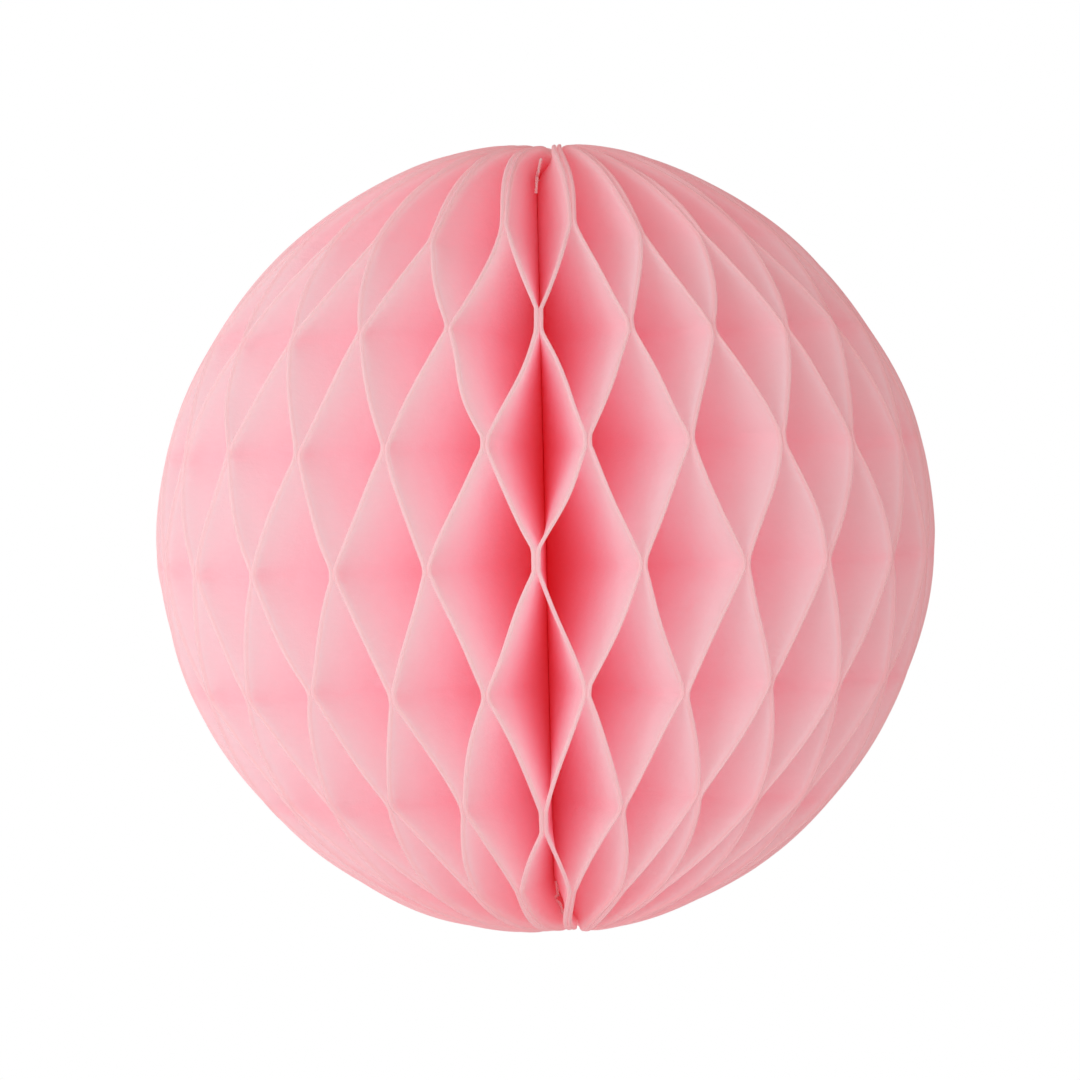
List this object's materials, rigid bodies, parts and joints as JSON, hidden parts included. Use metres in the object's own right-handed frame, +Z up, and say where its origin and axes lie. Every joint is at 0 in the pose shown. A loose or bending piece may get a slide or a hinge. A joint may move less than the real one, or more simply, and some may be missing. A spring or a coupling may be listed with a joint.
{
  "type": "paper honeycomb ball",
  "caption": "Honeycomb ball of pleated tissue leaves bonded in offset strips, fanned about a spine and closed by two card covers.",
  "frame": {"origin": "middle of the spine, which is the centre of the ball", "axes": "+Z up along the spine; +Y towards the seam where the two covers meet; -Y towards the front"},
  "size_m": [0.098, 0.098, 0.0998],
  "materials": {
    "tissue": "matte",
    "card": "matte",
    "adhesive": "satin",
    "thread": "matte"
  },
  "bodies": {
    "fixed_side": {"fixed_cover": "card", "closure_tab_lower": "adhesive", "closure_tab_middle": "adhesive", "closure_tab_upper": "adhesive"},
    "leaf_01": {"leaf_01": "tissue"},
    "leaf_02": {"leaf_02": "tissue"},
    "leaf_03": {"leaf_03": "tissue"},
    "leaf_04": {"leaf_04": "tissue"},
    "leaf_05": {"leaf_05": "tissue"},
    "leaf_06": {"leaf_06": "tissue"},
    "leaf_07": {"leaf_07": "tissue"},
    "leaf_08": {"leaf_08": "tissue"},
    "leaf_09": {"leaf_09": "tissue"},
    "leaf_10": {"leaf_10": "tissue"},
    "leaf_11": {"leaf_11": "tissue"},
    "leaf_12": {"leaf_12": "tissue"},
    "leaf_13": {"leaf_13": "tissue"},
    "leaf_14": {"leaf_14": "tissue"},
    "leaf_15": {"leaf_15": "tissue"},
    "leaf_16": {"leaf_16": "tissue"},
    "leaf_17": {"leaf_17": "tissue"},
    "leaf_18": {"leaf_18": "tissue"},
    "leaf_19": {"leaf_19": "tissue"},
    "leaf_20": {"leaf_20": "tissue"},
    "leaf_21": {"leaf_21": "tissue"},
    "leaf_22": {"leaf_22": "tissue"},
    "leaf_23": {"leaf_23": "tissue"},
    "leaf_24": {"leaf_24": "tissue", "top_tie": "thread", "bottom_tie": "thread"},
    "leaf_25": {"leaf_25": "tissue"},
    "leaf_26": {"leaf_26": "tissue"},
    "leaf_27": {"leaf_27": "tissue"},
    "leaf_28": {"leaf_28": "tissue"},
    "leaf_29": {"leaf_29": "tissue"},
    "leaf_30": {"leaf_30": "tissue"},
    "leaf_31": {"leaf_31": "tissue"},
    "leaf_32": {"leaf_32": "tissue"},
    "leaf_33": {"leaf_33": "tissue"},
    "leaf_34": {"leaf_34": "tissue"},
    "leaf_35": {"leaf_35": "tissue"},
    "leaf_36": {"leaf_36": "tissue"},
    "leaf_37": {"leaf_37": "tissue"},
    "leaf_38": {"leaf_38": "tissue"},
    "leaf_39": {"leaf_39": "tissue"},
    "leaf_40": {"leaf_40": "tissue"},
    "leaf_41": {"leaf_41": "tissue"},
    "leaf_42": {"leaf_42": "tissue"},
    "leaf_43": {"leaf_43": "tissue"},
    "leaf_44": {"leaf_44": "tissue"},
    "leaf_45": {"leaf_45": "tissue"},
    "leaf_46": {"leaf_46": "tissue"},
    "leaf_47": {"leaf_47": "tissue"},
    "leaf_48": {"leaf_48": "tissue"},
    "swinging_side": {"swinging_cover": "card"}
  },
  "joints": [
    {"name": "fold", "type": "hinge", "parent": "fixed_side", "child": "swinging_side", "pos_m": [0, 0, 0], "axis": [0, 0, 1], "range_deg": [-350, 0]},
    {"name": "leaf_01_turn", "type": "hinge", "parent": "fixed_side", "child": "leaf_01", "pos_m": [0, 0, 0], "axis": [0, 0, 1], "range_deg": [-3.67, 0], "deforming": ["leaf_01"]},
    {"name": "leaf_02_turn", "type": "hinge", "parent": "fixed_side", "child": "leaf_02", "pos_m": [0, 0, 0], "axis": [0, 0, 1], "range_deg": [-10.96, 0], "deforming": ["leaf_02"]},
    {"name": "leaf_03_turn", "type": "hinge", "parent": "fixed_side", "child": "leaf_03", "pos_m": [0, 0, 0], "axis": [0, 0, 1], "range_deg": [-18.25, 0], "deforming": ["leaf_03"]},
    {"name": "leaf_04_turn", "type": "hinge", "parent": "fixed_side", "child": "leaf_04", "pos_m": [0, 0, 0], "axis": [0, 0, 1], "range_deg": [-25.54, 0], "deforming": ["leaf_04"]},
    {"name": "leaf_05_turn", "type": "hinge", "parent": "fixed_side", "child": "leaf_05", "pos_m": [0, 0, 0], "axis": [0, 0, 1], "range_deg": [-32.83, 0], "deforming": ["leaf_05"]},
    {"name": "leaf_06_turn", "type": "hinge", "parent": "fixed_side", "child": "leaf_06", "pos_m": [0, 0, 0], "axis": [0, 0, 1], "range_deg": [-40.12, 0], "deforming": ["leaf_06"]},
    {"name": "leaf_07_turn", "type": "hinge", "parent": "fixed_side", "child": "leaf_07", "pos_m": [0, 0, 0], "axis": [0, 0, 1], "range_deg": [-47.42, 0], "deforming": ["leaf_07"]},
    {"name": "leaf_08_turn", "type": "hinge", "parent": "fixed_side", "child": "leaf_08", "pos_m": [0, 0, 0], "axis": [0, 0, 1], "range_deg": [-54.71, 0], "deforming": ["leaf_08"]},
    {"name": "leaf_09_turn", "type": "hinge", "parent": "fixed_side", "child": "leaf_09", "pos_m": [0, 0, 0], "axis": [0, 0, 1], "range_deg": [-62, 0], "deforming": ["leaf_09"]},
    {"name": "leaf_10_turn", "type": "hinge", "parent": "fixed_side", "child": "leaf_10", "pos_m": [0, 0, 0], "axis": [0, 0, 1], "range_deg": [-69.29, 0], "deforming": ["leaf_10"]},
    {"name": "leaf_11_turn", "type": "hinge", "parent": "fixed_side", "child": "leaf_11", "pos_m": [0, 0, 0], "axis": [0, 0, 1], "range_deg": [-76.58, 0], "deforming": ["leaf_11"]},
    {"name": "leaf_12_turn", "type": "hinge", "parent": "fixed_side", "child": "leaf_12", "pos_m": [0, 0, 0], "axis": [0, 0, 1], "range_deg": [-83.87, 0], "deforming": ["leaf_12"]},
    {"name": "leaf_13_turn", "type": "hinge", "parent": "fixed_side", "child": "leaf_13", "pos_m": [0, 0, 0], "axis": [0, 0, 1], "range_deg": [-91.17, 0], "deforming": ["leaf_13"]},
    {"name": "leaf_14_turn", "type": "hinge", "parent": "fixed_side", "child": "leaf_14", "pos_m": [0, 0, 0], "axis": [0, 0, 1], "range_deg": [-98.46, 0], "deforming": ["leaf_14"]},
    {"name": "leaf_15_turn", "type": "hinge", "parent": "fixed_side", "child": "leaf_15", "pos_m": [0, 0, 0], "axis": [0, 0, 1], "range_deg": [-105.75, 0], "deforming": ["leaf_15"]},
    {"name": "leaf_16_turn", "type": "hinge", "parent": "fixed_side", "child": "leaf_16", "pos_m": [0, 0, 0], "axis": [0, 0, 1], "range_deg": [-113.04, 0], "deforming": ["leaf_16"]},
    {"name": "leaf_17_turn", "type": "hinge", "parent": "fixed_side", "child": "leaf_17", "pos_m": [0, 0, 0], "axis": [0, 0, 1], "range_deg": [-120.33, 0], "deforming": ["leaf_17"]},
    {"name": "leaf_18_turn", "type": "hinge", "parent": "fixed_side", "child": "leaf_18", "pos_m": [0, 0, 0], "axis": [0, 0, 1], "range_deg": [-127.62, 0], "deforming": ["leaf_18"]},
    {"name": "leaf_19_turn", "type": "hinge", "parent": "fixed_side", "child": "leaf_19", "pos_m": [0, 0, 0], "axis": [0, 0, 1], "range_deg": [-134.92, 0], "deforming": ["leaf_19"]},
    {"name": "leaf_20_turn", "type": "hinge", "parent": "fixed_side", "child": "leaf_20", "pos_m": [0, 0, 0], "axis": [0, 0, 1], "range_deg": [-142.21, 0], "deforming": ["leaf_20"]},
    {"name": "leaf_21_turn", "type": "hinge", "parent": "fixed_side", "child": "leaf_21", "pos_m": [0, 0, 0], "axis": [0, 0, 1], "range_deg": [-149.5, 0], "deforming": ["leaf_21"]},
    {"name": "leaf_22_turn", "type": "hinge", "parent": "fixed_side", "child": "leaf_22", "pos_m": [0, 0, 0], "axis": [0, 0, 1], "range_deg": [-156.79, 0], "deforming": ["leaf_22"]},
    {"name": "leaf_23_turn", "type": "hinge", "parent": "fixed_side", "child": "leaf_23", "pos_m": [0, 0, 0], "axis": [0, 0, 1], "range_deg": [-164.08, 0], "deforming": ["leaf_23"]},
    {"name": "leaf_24_turn", "type": "hinge", "parent": "fixed_side", "child": "leaf_24", "pos_m": [0, 0, 0], "axis": [0, 0, 1], "range_deg": [-171.37, 0], "deforming": ["leaf_24"]},
    {"name": "leaf_25_turn", "type": "hinge", "parent": "fixed_side", "child": "leaf_25", "pos_m": [0, 0, 0], "axis": [0, 0, 1], "range_deg": [-178.67, 0], "deforming": ["leaf_25"]},
    {"name": "leaf_26_turn", "type": "hinge", "parent": "fixed_side", "child": "leaf_26", "pos_m": [0, 0, 0], "axis": [0, 0, 1], "range_deg": [-185.96, 0], "deforming": ["leaf_26"]},
    {"name": "leaf_27_turn", "type": "hinge", "parent": "fixed_side", "child": "leaf_27", "pos_m": [0, 0, 0], "axis": [0, 0, 1], "range_deg": [-193.25, 0], "deforming": ["leaf_27"]},
    {"name": "leaf_28_turn", "type": "hinge", "parent": "fixed_side", "child": "leaf_28", "pos_m": [0, 0, 0], "axis": [0, 0, 1], "range_deg": [-200.54, 0], "deforming": ["leaf_28"]},
    {"name": "leaf_29_turn", "type": "hinge", "parent": "fixed_side", "child": "leaf_29", "pos_m": [0, 0, 0], "axis": [0, 0, 1], "range_deg": [-207.83, 0], "deforming": ["leaf_29"]},
    {"name": "leaf_30_turn", "type": "hinge", "parent": "fixed_side", "child": "leaf_30", "pos_m": [0, 0, 0], "axis": [0, 0, 1], "range_deg": [-215.12, 0], "deforming": ["leaf_30"]},
    {"name": "leaf_31_turn", "type": "hinge", "parent": "fixed_side", "child": "leaf_31", "pos_m": [0, 0, 0], "axis": [0, 0, 1], "range_deg": [-222.42, 0], "deforming": ["leaf_31"]},
    {"name": "leaf_32_turn", "type": "hinge", "parent": "fixed_side", "child": "leaf_32", "pos_m": [0, 0, 0], "axis": [0, 0, 1], "range_deg": [-229.71, 0], "deforming": ["leaf_32"]},
    {"name": "leaf_33_turn", "type": "hinge", "parent": "fixed_side", "child": "leaf_33", "pos_m": [0, 0, 0], "axis": [0, 0, 1], "range_deg": [-237, 0], "deforming": ["leaf_33"]},
    {"name": "leaf_34_turn", "type": "hinge", "parent": "fixed_side", "child": "leaf_34", "pos_m": [0, 0, 0], "axis": [0, 0, 1], "range_deg": [-244.29, 0], "deforming": ["leaf_34"]},
    {"name": "leaf_35_turn", "type": "hinge", "parent": "fixed_side", "child": "leaf_35", "pos_m": [0, 0, 0], "axis": [0, 0, 1], "range_deg": [-251.58, 0], "deforming": ["leaf_35"]},
    {"name": "leaf_36_turn", "type": "hinge", "parent": "fixed_side", "child": "leaf_36", "pos_m": [0, 0, 0], "axis": [0, 0, 1], "range_deg": [-258.87, 0], "deforming": ["leaf_36"]},
    {"name": "leaf_37_turn", "type": "hinge", "parent": "fixed_side", "child": "leaf_37", "pos_m": [0, 0, 0], "axis": [0, 0, 1], "range_deg": [-266.17, 0], "deforming": ["leaf_37"]},
    {"name": "leaf_38_turn", "type": "hinge", "parent": "fixed_side", "child": "leaf_38", "pos_m": [0, 0, 0], "axis": [0, 0, 1], "range_deg": [-273.46, 0], "deforming": ["leaf_38"]},
    {"name": "leaf_39_turn", "type": "hinge", "parent": "fixed_side", "child": "leaf_39", "pos_m": [0, 0, 0], "axis": [0, 0, 1], "range_deg": [-280.75, 0], "deforming": ["leaf_39"]},
    {"name": "leaf_40_turn", "type": "hinge", "parent": "fixed_side", "child": "leaf_40", "pos_m": [0, 0, 0], "axis": [0, 0, 1], "range_deg": [-288.04, 0], "deforming": ["leaf_40"]},
    {"name": "leaf_41_turn", "type": "hinge", "parent": "fixed_side", "child": "leaf_41", "pos_m": [0, 0, 0], "axis": [0, 0, 1], "range_deg": [-295.33, 0], "deforming": ["leaf_41"]},
    {"name": "leaf_42_turn", "type": "hinge", "parent": "fixed_side", "child": "leaf_42", "pos_m": [0, 0, 0], "axis": [0, 0, 1], "range_deg": [-302.62, 0], "deforming": ["leaf_42"]},
    {"name": "leaf_43_turn", "type": "hinge", "parent": "fixed_side", "child": "leaf_43", "pos_m": [0, 0, 0], "axis": [0, 0, 1], "range_deg": [-309.92, 0], "deforming": ["leaf_43"]},
    {"name": "leaf_44_turn", "type": "hinge", "parent": "fixed_side", "child": "leaf_44", "pos_m": [0, 0, 0], "axis": [0, 0, 1], "range_deg": [-317.21, 0], "deforming": ["leaf_44"]},
    {"name": "leaf_45_turn", "type": "hinge", "parent": "fixed_side", "child": "leaf_45", "pos_m": [0, 0, 0], "axis": [0, 0, 1], "range_deg": [-324.5, 0], "deforming": ["leaf_45"]},
    {"name": "leaf_46_turn", "type": "hinge", "parent": "fixed_side", "child": "leaf_46", "pos_m": [0, 0, 0], "axis": [0, 0, 1], "range_deg": [-331.79, 0], "deforming": ["leaf_46"]},
    {"name": "leaf_47_turn", "type": "hinge", "parent": "fixed_side", "child": "leaf_47", "pos_m": [0, 0, 0], "axis": [0, 0, 1], "range_deg": [-339.08, 0], "deforming": ["leaf_47"]},
    {"name": "leaf_48_turn", "type": "hinge", "parent": "fixed_side", "child": "leaf_48", "pos_m": [0, 0, 0], "axis": [0, 0, 1], "range_deg": [-346.37, 0], "deforming": ["leaf_48"]}
  ],
  "couplings": [
    {"joint": "leaf_01_turn", "follows": "fold", "ratio": 0.010417},
    {"joint": "leaf_02_turn", "follows": "fold", "ratio": 0.03125},
    {"joint": "leaf_03_turn", "follows": "fold", "ratio": 0.052083},
    {"joint": "leaf_04_turn", "follows": "fold", "ratio": 0.072917},
    {"joint": "leaf_05_turn", "follows": "fold", "ratio": 0.09375},
    {"joint": "leaf_06_turn", "follows": "fold", "ratio": 0.11458},
    {"joint": "leaf_07_turn", "follows": "fold", "ratio": 0.13542},
    {"joint": "leaf_08_turn", "follows": "fold", "ratio": 0.15625},
    {"joint": "leaf_09_turn", "follows": "fold", "ratio": 0.17708},
    {"joint": "leaf_10_turn", "follows": "fold", "ratio": 0.19792},
    {"joint": "leaf_11_turn", "follows": "fold", "ratio": 0.21875},
    {"joint": "leaf_12_turn", "follows": "fold", "ratio": 0.23958},
    {"joint": "leaf_13_turn", "follows": "fold", "ratio": 0.26042},
    {"joint": "leaf_14_turn", "follows": "fold", "ratio": 0.28125},
    {"joint": "leaf_15_turn", "follows": "fold", "ratio": 0.30208},
    {"joint": "leaf_16_turn", "follows": "fold", "ratio": 0.32292},
    {"joint": "leaf_17_turn", "follows": "fold", "ratio": 0.34375},
    {"joint": "leaf_18_turn", "follows": "fold", "ratio": 0.36458},
    {"joint": "leaf_19_turn", "follows": "fold", "ratio": 0.38542},
    {"joint": "leaf_20_turn", "follows": "fold", "ratio": 0.40625},
    {"joint": "leaf_21_turn", "follows": "fold", "ratio": 0.42708},
    {"joint": "leaf_22_turn", "follows": "fold", "ratio": 0.44792},
    {"joint": "leaf_23_turn", "follows": "fold", "ratio": 0.46875},
    {"joint": "leaf_24_turn", "follows": "fold", "ratio": 0.48958},
    {"joint": "leaf_25_turn", "follows": "fold", "ratio": 0.51042},
    {"joint": "leaf_26_turn", "follows": "fold", "ratio": 0.53125},
    {"joint": "leaf_27_turn", "follows": "fold", "ratio": 0.55208},
    {"joint": "leaf_28_turn", "follows": "fold", "ratio": 0.57292},
    {"joint": "leaf_29_turn", "follows": "fold", "ratio": 0.59375},
    {"joint": "leaf_30_turn", "follows": "fold", "ratio": 0.61458},
    {"joint": "leaf_31_turn", "follows": "fold", "ratio": 0.63542},
    {"joint": "leaf_32_turn", "follows": "fold", "ratio": 0.65625},
    {"joint": "leaf_33_turn", "follows": "fold", "ratio": 0.67708},
    {"joint": "leaf_34_turn", "follows": "fold", "ratio": 0.69792},
    {"joint": "leaf_35_turn", "follows": "fold", "ratio": 0.71875},
    {"joint": "leaf_36_turn", "follows": "fold", "ratio": 0.73958},
    {"joint": "leaf_37_turn", "follows": "fold", "ratio": 0.76042},
    {"joint": "leaf_38_turn", "follows": "fold", "ratio": 0.78125},
    {"joint": "leaf_39_turn", "follows": "fold", "ratio": 0.80208},
    {"joint": "leaf_40_turn", "follows": "fold", "ratio": 0.82292},
    {"joint": "leaf_41_turn", "follows": "fold", "ratio": 0.84375},
    {"joint": "leaf_42_turn", "follows": "fold", "ratio": 0.86458},
    {"joint": "leaf_43_turn", "follows": "fold", "ratio": 0.88542},
    {"joint": "leaf_44_turn", "follows": "fold", "ratio": 0.90625},
    {"joint": "leaf_45_turn", "follows": "fold", "ratio": 0.92708},
    {"joint": "leaf_46_turn", "follows": "fold", "ratio": 0.94792},
    {"joint": "leaf_47_turn", "follows": "fold", "ratio": 0.96875},
    {"joint": "leaf_48_turn", "follows": "fold", "ratio": 0.98958}
  ]
}
